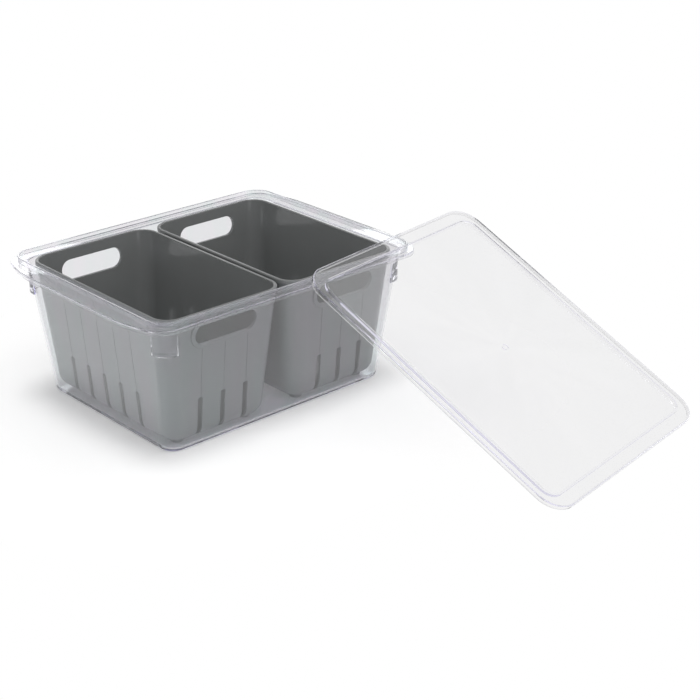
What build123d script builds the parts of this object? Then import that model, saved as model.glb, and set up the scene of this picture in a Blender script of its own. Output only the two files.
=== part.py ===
from build123d import *
import os
from math import atan, atan2, cos, radians, sin, sqrt, tan

# Raised lip round the mouth of the bin, measured outside
lip_length = 300.0
lip_width = 233.0
lip_corner = 20.0
lip_wall = 2.0
lip_height = 5.0
lip_round = 0.7

# Bin walls and floor
bin_height = 136.0
bin_wall = 2.0
bin_floor = 2.5
bin_draft = 6.3
wall_setback = 7.0
wall_corner = 15.0
base_round = 5.0
base_round_inside = 3.5
mouth_round = 1.0

# Flange outside the lip: wide at the two ends, where it is pulled, narrow along the sides
flange_end_reach = 12.5
flange_side_reach = 4.0
flange_thickness = 2.0
flange_edge_drop = 4.0
flange_edge_wall = 1.6
flange_round = 0.6
flange_corner_depth = 11.5
flange_corner_length = 44.0
flange_end_bend = 130.0
flange_side_bend = 23.0

# Pads on the corners of the walls under the flange, which stop nested bins from jamming
pad_setback = 1.2
pad_drop = 29.0
pad_arm = 2.5

# Baskets, with the clearances that let them stand loose in the bin
basket_side_clearance = 1.8
basket_end_clearance = 3.6
basket_foot_clearance = 0.76
basket_gap = 4.0
basket_back_shift = 0.7
basket_below_lip = 5.0
basket_wall = 1.8
basket_floor = 2.0
basket_corner = 18.0
basket_base_round = 14.0
bead_width = 3.2
bead_height = 3.5
bead_round = 1.3
bead_inner_round = 0.8

# Basket feet
foot_diameter = 12.0
foot_height = 3.0
foot_inset_x = 17.0
foot_inset_y = 16.0

# Hand holes in the short walls of the baskets
hand_hole_width = 68.0
hand_hole_height = 20.0
hand_hole_drop = 21.0
hand_ring_width = 4.0
hand_ring_stand = 1.4
hand_ring_round = 0.6

# Drain slots round the foot of the basket walls, and the fine grooves above them
slot_width = 5.4
slot_pitch = 25.4
slots_on_long_wall = 5
slots_on_short_wall = 3
slot_top_height = 41.5
slot_reach_under = 12.0
slot_round = 1.2
groove_width = 1.2
groove_depth = 0.4

# Lid, a cap that rests on the lip, with a sunk panel that locates it inside the lip
lid_wall = 1.8
lid_end_clearance = 2.2
lid_side_clearance = 4.7
lid_skirt_depth = 2.8
lid_corner = 24.0
lid_round = 0.9
lid_end_border = 15.2
lid_side_border = 11.0
lid_panel_depth = 2.4
lid_panel_corner = 12.0
gate_mark_diameter = 7.0
gate_mark_depth = 0.4
gate_mark_groove = 0.8

# The lid leans on the front right corner of the bin, its lower end on the ground
lean_turn = 8.8
lean_foot_x = 162.5
lean_past_lip = 14.4
lean_clearance = 0.3

# Sizes that follow from those above
flange_top = bin_height - lip_height
wall_top_length = lip_length - 2 * wall_setback
wall_top_width = lip_width - 2 * wall_setback
bin_slope = tan(radians(bin_draft))
pad_length = wall_top_length - 2 * pad_setback
pad_width = wall_top_width - 2 * pad_setback
pad_corner = wall_corner - pad_setback
pad_size = pad_corner + pad_arm
basket_bottom = bin_floor + foot_height
basket_top = bin_height - basket_below_lip
basket_tall = basket_top - basket_bottom
basket_length = wall_top_width - 2 * (bin_wall + basket_side_clearance)
basket_width = (wall_top_length - basket_gap) / 2 - bin_wall - basket_end_clearance
basket_center = (basket_width + basket_gap) / 2
bead_stand = bead_width - basket_wall
basket_draw_in = basket_side_clearance + bead_stand - basket_foot_clearance
basket_slope = bin_slope - basket_draw_in / basket_tall
wall_length = basket_length - 2 * bead_stand
wall_width = basket_width - 2 * bead_stand
foot_length = wall_length - 2 * basket_tall * basket_slope
foot_width = wall_width - 2 * basket_tall * basket_slope
groove_length = basket_tall - slot_top_height + slot_round
short_groove = groove_length - hand_hole_drop
slot_length = slot_top_height + slot_round
slot_middle = basket_bottom + slot_top_height - slot_length / 2
slot_cut = slot_reach_under + slot_length * basket_slope + basket_wall
lid_length = lip_length + 2 * (lid_end_clearance + lid_wall)
lid_width = lip_width + 2 * (lid_side_clearance + lid_wall)
lid_tall = lid_skirt_depth + lid_wall
panel_width = lid_width - 2 * lid_side_border
panel_length = lid_length - 2 * lid_end_border
panel_underside = lid_tall - lid_panel_depth - lid_wall


def wall_section(height, inset):
    """Horizontal section of the bin at a height, drawn in by an inset."""
    taper = (flange_top - height) * bin_slope + inset
    with BuildSketch(Plane.XY.offset(height)) as section:
        RectangleRounded(wall_top_length - 2 * taper, wall_top_width - 2 * taper, wall_corner - inset)
    return section.sketch


def flange_outline(height, inset):
    """Outline of the flange, bulging at the two ends, drawn in by an inset."""
    end = lip_length / 2 + flange_end_reach
    side = lip_width / 2 + flange_side_reach
    end_y = side - flange_corner_length
    side_x = end - flange_corner_depth
    with BuildSketch(Plane.XY.offset(height)) as outline:
        with BuildLine():
            FilletPolyline(
                (end, -end_y),
                (end, end_y),
                (side_x, side),
                (-side_x, side),
                (-end, end_y),
                (-end, -end_y),
                (-side_x, -side),
                (side_x, -side),
                radius=2 * [flange_end_bend, flange_end_bend, flange_side_bend, flange_side_bend],
                close=True,
            )
        make_face()
        if inset:
            offset(amount=-inset)
    return outline.sketch


def basket_section(center, height, inset):
    """Horizontal section of a basket at a height, drawn in by an inset."""
    taper = (basket_top - height) * basket_slope + inset
    with BuildSketch(Plane((center, basket_back_shift, height))) as section:
        RectangleRounded(wall_width - 2 * taper, wall_length - 2 * taper, basket_corner - inset)
    return section.sketch


def basket_wall_plane(center, out_x, out_y):
    """Outer face of a basket wall, with its origin at the level of the rim."""
    reach_x = center + out_x * wall_width / 2
    reach_y = basket_back_shift + out_y * wall_length / 2
    lean = atan(basket_slope)
    outwards = (out_x * cos(lean), out_y * cos(lean), -sin(lean))
    return Plane((reach_x, reach_y, basket_top), x_dir=(-out_y, out_x, 0), z_dir=outwards)


# The hollow of the bin
with BuildPart() as bin_hollow:
    loft([wall_section(bin_floor, bin_wall), wall_section(flange_top, bin_wall)])
    fillet(bin_hollow.edges().group_by(Axis.Z)[0], base_round_inside)

# The bin: flange with its edge turned down, walls and floor, corner pads and raised lip
with BuildPart() as storage_bin:
    extrude(flange_outline(flange_top - flange_edge_drop, 0), amount=flange_edge_drop)
    fillet(storage_bin.edges().group_by(Axis.Z)[-1], flange_round)
    extrude(
        flange_outline(flange_top - flange_edge_drop, flange_edge_wall),
        amount=flange_edge_drop - flange_thickness,
        mode=Mode.SUBTRACT,
    )
    loft([wall_section(0, 0), wall_section(flange_top, 0)])
    fillet(storage_bin.edges().group_by(Axis.Z)[0], base_round)
    with BuildSketch(Plane.XY.offset(flange_top - flange_thickness - pad_drop)):
        with GridLocations(pad_length - pad_size, pad_width - pad_size, 2, 2):
            Rectangle(pad_size, pad_size)
        RectangleRounded(pad_length, pad_width, pad_corner, mode=Mode.INTERSECT)
    extrude(amount=pad_drop)
    with BuildSketch(Plane.XY.offset(flange_top)):
        RectangleRounded(lip_length, lip_width, lip_corner)
        offset(amount=-lip_wall, mode=Mode.SUBTRACT)
    extrude(amount=lip_height)
    fillet(storage_bin.edges().group_by(Axis.Z)[-1], lip_round)
    add(bin_hollow.part, mode=Mode.SUBTRACT)
    at_ledge = storage_bin.edges().filter_by_position(Axis.Z, flange_top, flange_top)
    at_ledge = at_ledge.filter_by(lambda edge: abs(edge.center().X) < (wall_top_length - bin_wall) / 2)
    at_mouth = at_ledge.filter_by(lambda edge: abs(edge.center().Y) < (wall_top_width - bin_wall) / 2)
    fillet(at_mouth, mouth_round)

# The two baskets, side by side in the bin
baskets = []
for side, name in ((-1, "basket_left"), (1, "basket_right")):
    center = side * basket_center
    with BuildPart() as basket_hollow:
        loft(
            [
                basket_section(center, basket_bottom + basket_floor, basket_wall),
                basket_section(center, basket_top, basket_wall),
            ]
        )
        fillet(basket_hollow.edges().group_by(Axis.Z)[0], basket_base_round - basket_wall)

    with BuildPart() as basket:
        loft([basket_section(center, basket_bottom, 0), basket_section(center, basket_top, 0)])
        fillet(basket.edges().group_by(Axis.Z)[0], basket_base_round)

        # Fine grooves up the walls, and the raised rings of the hand holes
        for out in (-1, 1):
            with BuildSketch(basket_wall_plane(center, out, 0)):
                with Locations((0, -groove_length / 2)):
                    with GridLocations(slot_pitch, slot_pitch, slots_on_long_wall, 1):
                        Rectangle(groove_width, groove_length)
            extrude(amount=groove_depth, both=True, mode=Mode.SUBTRACT)
            short_wall = basket_wall_plane(center, 0, out)
            with BuildSketch(short_wall):
                with Locations((0, short_groove / 2 - groove_length)):
                    with GridLocations(slot_pitch, slot_pitch, slots_on_short_wall, 1):
                        Rectangle(groove_width, short_groove)
            extrude(amount=groove_depth, both=True, mode=Mode.SUBTRACT)
            with BuildSketch(short_wall.offset(-basket_wall / 2)):
                with Locations((0, -hand_hole_drop)):
                    SlotOverall(
                        hand_hole_width + 2 * hand_ring_width,
                        hand_hole_height + 2 * hand_ring_width,
                    )
            extrude(amount=basket_wall / 2 + hand_ring_stand)
            ring_face = basket.faces().sort_by(Axis(short_wall.origin, short_wall.z_dir))[-1]
            fillet(ring_face.edges(), hand_ring_round)

        # Bead round the rim
        with BuildSketch(Plane((center, basket_back_shift, basket_top - bead_height))):
            RectangleRounded(basket_width, basket_length, basket_corner + bead_stand)
        extrude(amount=bead_height)
        fillet(basket.edges().group_by(Axis.Z)[-1], bead_round)

        # Feet, which reach up into the floor
        with BuildSketch(Plane((center, basket_back_shift, bin_floor))):
            with GridLocations(foot_width - 2 * foot_inset_x, foot_length - 2 * foot_inset_y, 2, 2):
                Circle(foot_diameter / 2)
        extrude(amount=foot_height + basket_floor)
        add(basket_hollow.part, mode=Mode.SUBTRACT)
        fillet(basket.edges().group_by(Axis.Z)[-1], bead_inner_round)

        # Hand holes and drain slots
        for out in (-1, 1):
            with BuildSketch(basket_wall_plane(center, 0, out)):
                with Locations((0, -hand_hole_drop)):
                    SlotOverall(hand_hole_width, hand_hole_height)
            extrude(amount=basket_wall + hand_ring_stand, both=True, mode=Mode.SUBTRACT)
            from_x = center + out * (foot_width / 2 - slot_reach_under)
            with BuildSketch(Plane((from_x, basket_back_shift, slot_middle), (0, out, 0), (out, 0, 0))):
                with GridLocations(slot_pitch, slot_pitch, slots_on_long_wall, 1):
                    RectangleRounded(slot_width, slot_length, slot_round)
            extrude(amount=slot_cut, mode=Mode.SUBTRACT)
            from_y = basket_back_shift + out * (foot_length / 2 - slot_reach_under)
            with BuildSketch(Plane((center, from_y, slot_middle), (-out, 0, 0), (0, out, 0))):
                with GridLocations(slot_pitch, slot_pitch, slots_on_short_wall, 1):
                    RectangleRounded(slot_width, slot_length, slot_round)
            extrude(amount=slot_cut, mode=Mode.SUBTRACT)
    basket.part.label = name
    baskets.append(basket.part)

# How the lid leans: turned about the upright, and tilted until its panel meets the lip
turn = radians(lean_turn)
lip_along = lid_length - lean_past_lip
lip_below = panel_underside - lean_clearance
lip_away = sqrt(lip_along**2 + lip_below**2 - bin_height**2)
tilt = atan2(bin_height, lip_away) - atan2(lip_below, lip_along)
lip_reach_x = lip_length / 2 - lip_corner
lip_reach_y = lip_width / 2 - lip_corner
lean_foot_y = (lean_foot_x - lip_reach_x) * tan(turn) - lip_reach_y - (lip_corner + lip_away) / cos(turn)
lid_across = Vector(cos(turn), sin(turn), 0)
lid_up = Vector(-sin(turn) * cos(tilt), cos(turn) * cos(tilt), sin(tilt))
lid_middle = Vector(lean_foot_x, lean_foot_y, 0) + lid_up * (lid_length / 2)
lid_plane = Plane(lid_middle, x_dir=lid_across, z_dir=lid_across.cross(lid_up))

# The lid: a cap over the lip, with a sunk panel that fits down inside the lip
with BuildPart() as lid:
    with BuildSketch(lid_plane):
        RectangleRounded(lid_width, lid_length, lid_corner)
    extrude(amount=lid_tall)
    fillet(lid.faces().sort_by(Axis(lid_plane.origin, lid_plane.z_dir))[-1].edges(), lid_round)
    with BuildSketch(lid_plane):
        RectangleRounded(lid_width - 2 * lid_wall, lid_length - 2 * lid_wall, lid_corner - lid_wall)
    extrude(amount=lid_tall - lid_wall, mode=Mode.SUBTRACT)
    with BuildSketch(lid_plane.offset(panel_underside)):
        RectangleRounded(
            panel_width + 2 * lid_wall,
            panel_length + 2 * lid_wall,
            lid_panel_corner + lid_wall,
        )
    extrude(amount=lid_panel_depth + lid_wall)
    with BuildSketch(lid_plane.offset(lid_tall)):
        RectangleRounded(panel_width, panel_length, lid_panel_corner)
    extrude(amount=-lid_panel_depth, mode=Mode.SUBTRACT)
    with BuildSketch(lid_plane.offset(lid_tall - lid_panel_depth)):
        Circle(gate_mark_diameter / 2)
        offset(amount=-gate_mark_groove, mode=Mode.SUBTRACT)
    extrude(amount=-gate_mark_depth, mode=Mode.SUBTRACT)

storage_bin.part.label = "bin"
lid.part.label = "lid"

os.makedirs("parts", exist_ok=True)
for piece in (storage_bin.part, *baskets, lid.part):
    export_step(piece, f"parts/{piece.label}.step")
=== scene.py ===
from math import radians

import bpy
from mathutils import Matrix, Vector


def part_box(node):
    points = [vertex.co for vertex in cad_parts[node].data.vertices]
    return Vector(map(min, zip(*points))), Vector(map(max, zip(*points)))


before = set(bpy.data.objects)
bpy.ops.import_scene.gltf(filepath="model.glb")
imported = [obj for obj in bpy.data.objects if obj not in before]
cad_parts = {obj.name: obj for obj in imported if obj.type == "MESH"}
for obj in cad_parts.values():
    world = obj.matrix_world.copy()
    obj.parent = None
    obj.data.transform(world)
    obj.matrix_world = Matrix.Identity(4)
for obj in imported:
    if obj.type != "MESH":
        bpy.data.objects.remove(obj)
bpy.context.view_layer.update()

# The storage bin: one tray of clear general purpose polystyrene, injection moulded in a
# polished steel mould. It is glass clear, hard and glossy, with a trace of violet toner that
# shows where the eye looks along the plastic, at the lip and the turned down edge.


def paint(hex_code):
    """An sRGB hex colour as linear RGBA."""
    channels = [int(hex_code[start:start + 2], 16) / 255 for start in (1, 3, 5)]
    linear = [c / 12.92 if c <= 0.04045 else ((c + 0.055) / 1.055) ** 2.4 for c in channels]
    return (*linear, 1.0)


def add_node(tree, kind, settings={}, inputs={}):
    """Adds a node, sets its properties, and fills or links its inputs."""
    made = tree.nodes.new(kind)
    for name, value in settings.items():
        setattr(made, name, value)
    for name, value in inputs.items():
        if isinstance(value, bpy.types.NodeSocket):
            tree.links.new(value, made.inputs[name])
        else:
            made.inputs[name].default_value = value
    return made


def empty_material(name):
    """A material with only its output node."""
    material = bpy.data.materials.new(name)
    material.use_nodes = True
    material.node_tree.nodes.clear()
    return material, material.node_tree, material.node_tree.nodes.new("ShaderNodeOutputMaterial")


def dress(node, material):
    """Gives a CAD node its material."""
    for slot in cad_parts[node].material_slots:
        slot.material = material


# The plastic of the bin and the lid. Its roughness runs over polish, and its two tints meet
# inside tint_band, where most of a noise pattern lies. A ray that meets the plastic after more
# than trapped_after bounces is let out, because otherwise the lip and the lid's step show
# black lines that the real ones don't have.
polystyrene_ior = 1.59
polish = (0.006, 0.02)
tint_band = (0.35, 0.65)
toner_colour = "#c9c4ee"
trapped_after = 8.5


def fill_with_polystyrene(tree, output, skin, skin_height, skin_strength, streaks, tints,
                          shade, toner):
    """Clear polystyrene with a skin that is uneven by one pattern, and streaks of two tints.

    The shadow rays of the lamps pass it as a pane of the colour shade, so that light reaches
    what stands inside. toner is the density of the toner's absorption, per metre.
    """
    bump = add_node(tree, "ShaderNodeBump", inputs={
        "Height": skin, "Strength": skin_strength, "Distance": skin_height})
    haze = add_node(tree, "ShaderNodeMapRange", inputs={
        "Value": skin, "To Min": polish[0], "To Max": polish[1]})
    tint = add_node(tree, "ShaderNodeValToRGB", inputs={"Fac": streaks})
    for stop, position, colour in zip(tint.color_ramp.elements, tint_band, tints):
        stop.position = position
        stop.color = paint(colour)
    plastic = add_node(tree, "ShaderNodeBsdfPrincipled", inputs={
        "Base Color": tint.outputs["Color"], "Roughness": haze.outputs["Result"],
        "IOR": polystyrene_ior, "Transmission Weight": 1.0, "Normal": bump.outputs["Normal"]})
    rays = add_node(tree, "ShaderNodeLightPath")
    trapped = add_node(tree, "ShaderNodeMath", {"operation": "GREATER_THAN"}, {
        0: rays.outputs["Ray Depth"], 1: trapped_after})
    let_out = add_node(tree, "ShaderNodeBsdfTransparent", inputs={"Color": paint("#ffffff")})
    inside = add_node(tree, "ShaderNodeMixShader", inputs={
        0: trapped.outputs["Value"], 1: plastic.outputs["BSDF"], 2: let_out.outputs["BSDF"]})
    let_through = add_node(tree, "ShaderNodeBsdfTransparent", inputs={"Color": paint(shade)})
    either = add_node(tree, "ShaderNodeMixShader", inputs={
        0: rays.outputs["Is Shadow Ray"], 1: inside.outputs["Shader"],
        2: let_through.outputs["BSDF"]})
    depth = add_node(tree, "ShaderNodeVolumeAbsorption", inputs={
        "Color": paint(toner_colour), "Density": toner})
    tree.links.new(either.outputs["Shader"], output.inputs["Surface"])
    tree.links.new(depth.outputs["Volume"], output.inputs["Volume"])


# The bin's skin has slow waves from shrinkage, which bend the mirrored softboxes a little. Its
# faint cool and warm tints are drawn out upwards, the way the plastic ran up the walls.
wave_pitch = 0.060
wave_height = 0.00012
wave_strength = 0.1
stress_pitch = 0.018
stress_length = 0.160

clear_bin, tree, output = empty_material("clear polystyrene, polished mould")
place = add_node(tree, "ShaderNodeTexCoord")
waves = add_node(tree, "ShaderNodeTexNoise", inputs={
    "Vector": place.outputs["Object"], "Scale": 1 / wave_pitch, "Detail": 1.0})
flow = add_node(tree, "ShaderNodeMapping", inputs={
    "Vector": place.outputs["Object"], "Scale": (1.0, 1.0, stress_pitch / stress_length)})
stress = add_node(tree, "ShaderNodeTexNoise", inputs={
    "Vector": flow.outputs["Vector"], "Scale": 1 / stress_pitch, "Detail": 1.0})
fill_with_polystyrene(
    tree, output, skin=waves.outputs["Fac"], skin_height=wave_height,
    skin_strength=wave_strength, streaks=stress.outputs["Fac"], tints=("#ecf0f0", "#f1eff2"),
    shade="#f3f4f8", toner=7.0)
dress("bin", clear_bin)

# The two baskets: grey polypropylene, injection moulded in a mould with a fine spark-eroded
# skin, which looks semi-glossy from afar and finely grained close by. They stand loose in the
# bin on four short feet each.

# A real grain of about 0.1 mm is too fine to show, so it is drawn at 0.6 mm. The clouds are
# the slow changes of shade and gloss over a moulded wall.
grain_size = 0.0006
grain_depth = 0.00004
grain_strength = 0.03
cloud_size = 0.0455
polypropylene_ior = 1.49
semi_gloss = (0.09, 0.14)

grey_basket, tree, output = empty_material("grey polypropylene, spark-eroded mould")
place = add_node(tree, "ShaderNodeTexCoord")
grain = add_node(tree, "ShaderNodeTexNoise", inputs={
    "Vector": place.outputs["Object"], "Scale": 1 / grain_size, "Detail": 2.0})
bump = add_node(tree, "ShaderNodeBump", inputs={
    "Height": grain.outputs["Fac"], "Strength": grain_strength, "Distance": grain_depth})
clouds = add_node(tree, "ShaderNodeTexNoise", inputs={
    "Vector": place.outputs["Object"], "Scale": 1 / cloud_size, "Detail": 2.0})
grey = add_node(tree, "ShaderNodeValToRGB", inputs={"Fac": clouds.outputs["Fac"]})
grey.color_ramp.elements[0].color = paint("#888a8a")
grey.color_ramp.elements[1].color = paint("#8d8f8f")
sheen = add_node(tree, "ShaderNodeMapRange", inputs={
    "Value": clouds.outputs["Fac"], "To Min": semi_gloss[0], "To Max": semi_gloss[1]})
plastic = add_node(tree, "ShaderNodeBsdfPrincipled", inputs={
    "Base Color": grey.outputs["Color"], "Roughness": sheen.outputs["Result"],
    "IOR": polypropylene_ior, "Normal": bump.outputs["Normal"]})
tree.links.new(plastic.outputs["BSDF"], output.inputs["Surface"])
dress("basket_left", grey_basket)
dress("basket_right", grey_basket)

# The lid: clear polystyrene like the bin, injection moulded through one gate in the middle. It
# leans on the bin's corner and isn't fixed to anything. Seen edge on, the plastic shows its
# violet toner.

# The plastic ran outwards from the gate and froze in faint rays, which the eye sees as soft
# patches in the panel. They change once in ray_length along a ray, and once in ray_turn
# radians round the gate.
lid_low, lid_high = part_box("lid")
gate_place = (lid_low + lid_high) / 2
ray_length = 0.110
ray_turn = 0.45
ripple_height = 0.0002
ripple_strength = 0.04

clear_lid, tree, output = empty_material("clear polystyrene, frozen flow from the gate")
place = add_node(tree, "ShaderNodeTexCoord")
outwards = add_node(tree, "ShaderNodeVectorMath", {"operation": "SUBTRACT"}, {
    0: place.outputs["Object"], 1: gate_place})
turn = add_node(tree, "ShaderNodeVectorMath", {"operation": "NORMALIZE"}, {
    0: outwards.outputs["Vector"]})
flow = add_node(tree, "ShaderNodeVectorMath", {"operation": "MULTIPLY_ADD"}, {
    0: turn.outputs["Vector"], 1: (ray_length / ray_turn,) * 3, 2: outwards.outputs["Vector"]})
frozen = add_node(tree, "ShaderNodeTexNoise", inputs={
    "Vector": flow.outputs["Vector"], "Scale": 1 / ray_length, "Detail": 1.5})
fill_with_polystyrene(
    tree, output, skin=frozen.outputs["Fac"], skin_height=ripple_height,
    skin_strength=ripple_strength, streaks=frozen.outputs["Fac"],
    tints=("#f2f2f1", "#f4f4f3"), shade="#f5f5f5", toner=20.0)
dress("lid", clear_lid)

# The studio: a white table that fades to plain white away from the part, a white backdrop at
# the horizon that greys upwards, and soft boxes. The table keeps the part's shadow.


def followed_by_the_eye(tree):
    """1 for a ray that is seen straight, in a mirroring face or through clear plastic."""
    rays = add_node(tree, "ShaderNodeLightPath")
    mirrored = add_node(tree, "ShaderNodeMath", {"operation": "MAXIMUM"}, {
        0: rays.outputs["Is Camera Ray"], 1: rays.outputs["Is Glossy Ray"]})
    through = add_node(tree, "ShaderNodeMath", {"operation": "MAXIMUM"}, {
        0: mirrored.outputs["Value"], 1: rays.outputs["Is Transmission Ray"]})
    return through.outputs["Value"]


# The table lies a hair under the bin, so that no two faces share one plane. Its shadow is
# whole over a rectangle under the bin, given by half its sides. With the distance from it, the
# table first glows more, which thins the shadow, and then turns plain white.
table_side = 12
table_drop = 0.0002
whole_shadow = (0.120, 0.080, 0.0)
glow_reach = (0.0, 0.06)
glow_strength = (0.14, 0.47)
fade_reach = (0.02, 0.20)

bpy.ops.mesh.primitive_plane_add(size=table_side, location=(0, 0, -table_drop))
table = bpy.context.object
table.name = "table"
white_table, tree, output = empty_material("white table")
place = add_node(tree, "ShaderNodeTexCoord")
surface = add_node(tree, "ShaderNodeBsdfDiffuse", inputs={"Color": paint("#f8f8f8")})
quarter = add_node(tree, "ShaderNodeVectorMath", {"operation": "ABSOLUTE"}, {
    0: place.outputs["Object"]})
past = add_node(tree, "ShaderNodeVectorMath", {"operation": "SUBTRACT"}, {
    0: quarter.outputs["Vector"], 1: whole_shadow})
outside = add_node(tree, "ShaderNodeVectorMath", {"operation": "MAXIMUM"}, {
    0: past.outputs["Vector"], 1: (0.0, 0.0, 0.0)})
aside = add_node(tree, "ShaderNodeVectorMath", {"operation": "LENGTH"}, {
    0: outside.outputs["Vector"]})
lift = add_node(tree, "ShaderNodeMapRange", {"interpolation_type": "SMOOTHSTEP"}, {
    "Value": aside.outputs["Value"], "From Min": glow_reach[0], "From Max": glow_reach[1],
    "To Min": glow_strength[0], "To Max": glow_strength[1]})
glow = add_node(tree, "ShaderNodeEmission", inputs={
    "Color": paint("#ffffff"), "Strength": lift.outputs["Result"]})
near = add_node(tree, "ShaderNodeAddShader", inputs={
    0: surface.outputs["BSDF"], 1: glow.outputs["Emission"]})
far = add_node(tree, "ShaderNodeEmission", inputs={"Color": paint("#ffffff"), "Strength": 1.0})
fade = add_node(tree, "ShaderNodeMapRange", inputs={
    "Value": aside.outputs["Value"], "From Min": fade_reach[0], "From Max": fade_reach[1]})
shown = add_node(tree, "ShaderNodeMixShader", inputs={
    0: fade.outputs["Result"], 1: near.outputs["Shader"], 2: far.outputs["Emission"]})
either = add_node(tree, "ShaderNodeMixShader", inputs={
    0: followed_by_the_eye(tree), 1: surface.outputs["BSDF"], 2: shown.outputs["Shader"]})
tree.links.new(either.outputs["Shader"], output.inputs["Surface"])
table.data.materials.append(white_table)

# The backdrop is white up to grey_from and grey from grey_to on, where 0 is a level look and 1
# a look straight up. Only the eye meets it: the room lights the part evenly and more weakly.
grey_from, grey_to = 0.18, 0.5
room_light = 0.4

world = bpy.data.worlds.new("studio")
bpy.context.scene.world = world
world.use_nodes = True
tree = world.node_tree
tree.nodes.clear()
place = add_node(tree, "ShaderNodeTexCoord")
height = add_node(tree, "ShaderNodeSeparateXYZ", inputs={"Vector": place.outputs["Generated"]})
sky = add_node(tree, "ShaderNodeValToRGB", inputs={"Fac": height.outputs["Z"]})
sky.color_ramp.elements[0].position = grey_from
sky.color_ramp.elements[0].color = paint("#ffffff")
sky.color_ramp.elements[1].position = grey_to
sky.color_ramp.elements[1].color = paint("#606064")
room = add_node(tree, "ShaderNodeBackground", inputs={
    "Color": paint("#ffffff"), "Strength": room_light})
backdrop = add_node(tree, "ShaderNodeBackground", inputs={
    "Color": sky.outputs["Color"], "Strength": 1.0})
either = add_node(tree, "ShaderNodeMixShader", inputs={
    0: followed_by_the_eye(tree), 1: room.outputs["Background"],
    2: backdrop.outputs["Background"]})
add_node(tree, "ShaderNodeOutputWorld", inputs={"Surface": either.outputs["Shader"]})

# The lamps, each with its place in metres, its turn in degrees, its size in metres and its
# power in watts. The low strips light the baskets' walls through the clear bin.
for name, stand, aim, size, power in (
    ("high softbox in front", (-0.2, -0.75, 1.1), (33, -10, 0), (1.2, 0.8), 4.2),
    ("softbox on the right", (1.25, -0.12, 1.05), (0, 49, 5), (1.0, 1.0), 2.5),
    ("softbox behind on the right", (0.8, 1.02, 1.03), (-55, 0, -38), (0.8, 0.5), 0.6),
    ("bar light behind", (0.72, 1.12, 0.62), (-65, 0, -33), (1.6, 0.05), 0.5),
    ("low strip light on the left", (-1.1, -0.1, 0.062), (0, -90, 0), (0.12, 1.6), 3.0),
    ("low strip light in front", (0.1, -1.3, 0.062), (90, 0, 0), (1.6, 0.12), 0.9),
    ("low strip light on the right", (1.1, -0.35, 0.062), (0, 90, -20), (0.12, 1.0), 1.6),
):
    light = bpy.data.lights.new(name, "AREA")
    light.energy = power
    light.shape = "RECTANGLE"
    light.size, light.size_y = size
    lamp = bpy.data.objects.new(name, light)
    lamp.location = stand
    lamp.rotation_euler = [radians(angle) for angle in aim]
    lamp.visible_camera = False
    bpy.context.scene.collection.objects.link(lamp)

# Clear plastic stands behind clear plastic here, and light runs along inside it, so it is
# followed through many faces.
bpy.context.scene.cycles.max_bounces = 32
bpy.context.scene.cycles.glossy_bounces = 24
bpy.context.scene.cycles.transmission_bounces = 32
bpy.context.scene.cycles.transparent_max_bounces = 32

# The camera of the photograph: its place, aim and lens were fitted to the photograph's lines.
lens = bpy.data.cameras.new("camera")
lens.lens = 81.23
lens.sensor_width = 36.0
camera = bpy.data.objects.new("camera", lens)
camera.location = (-0.8520, -1.1042, 0.6492)
camera.rotation_euler = [radians(angle) for angle in (66.101, -0.422, -42.709)]
bpy.context.scene.collection.objects.link(camera)
bpy.context.scene.camera = camera

bpy.context.scene.view_settings.view_transform = "Standard"
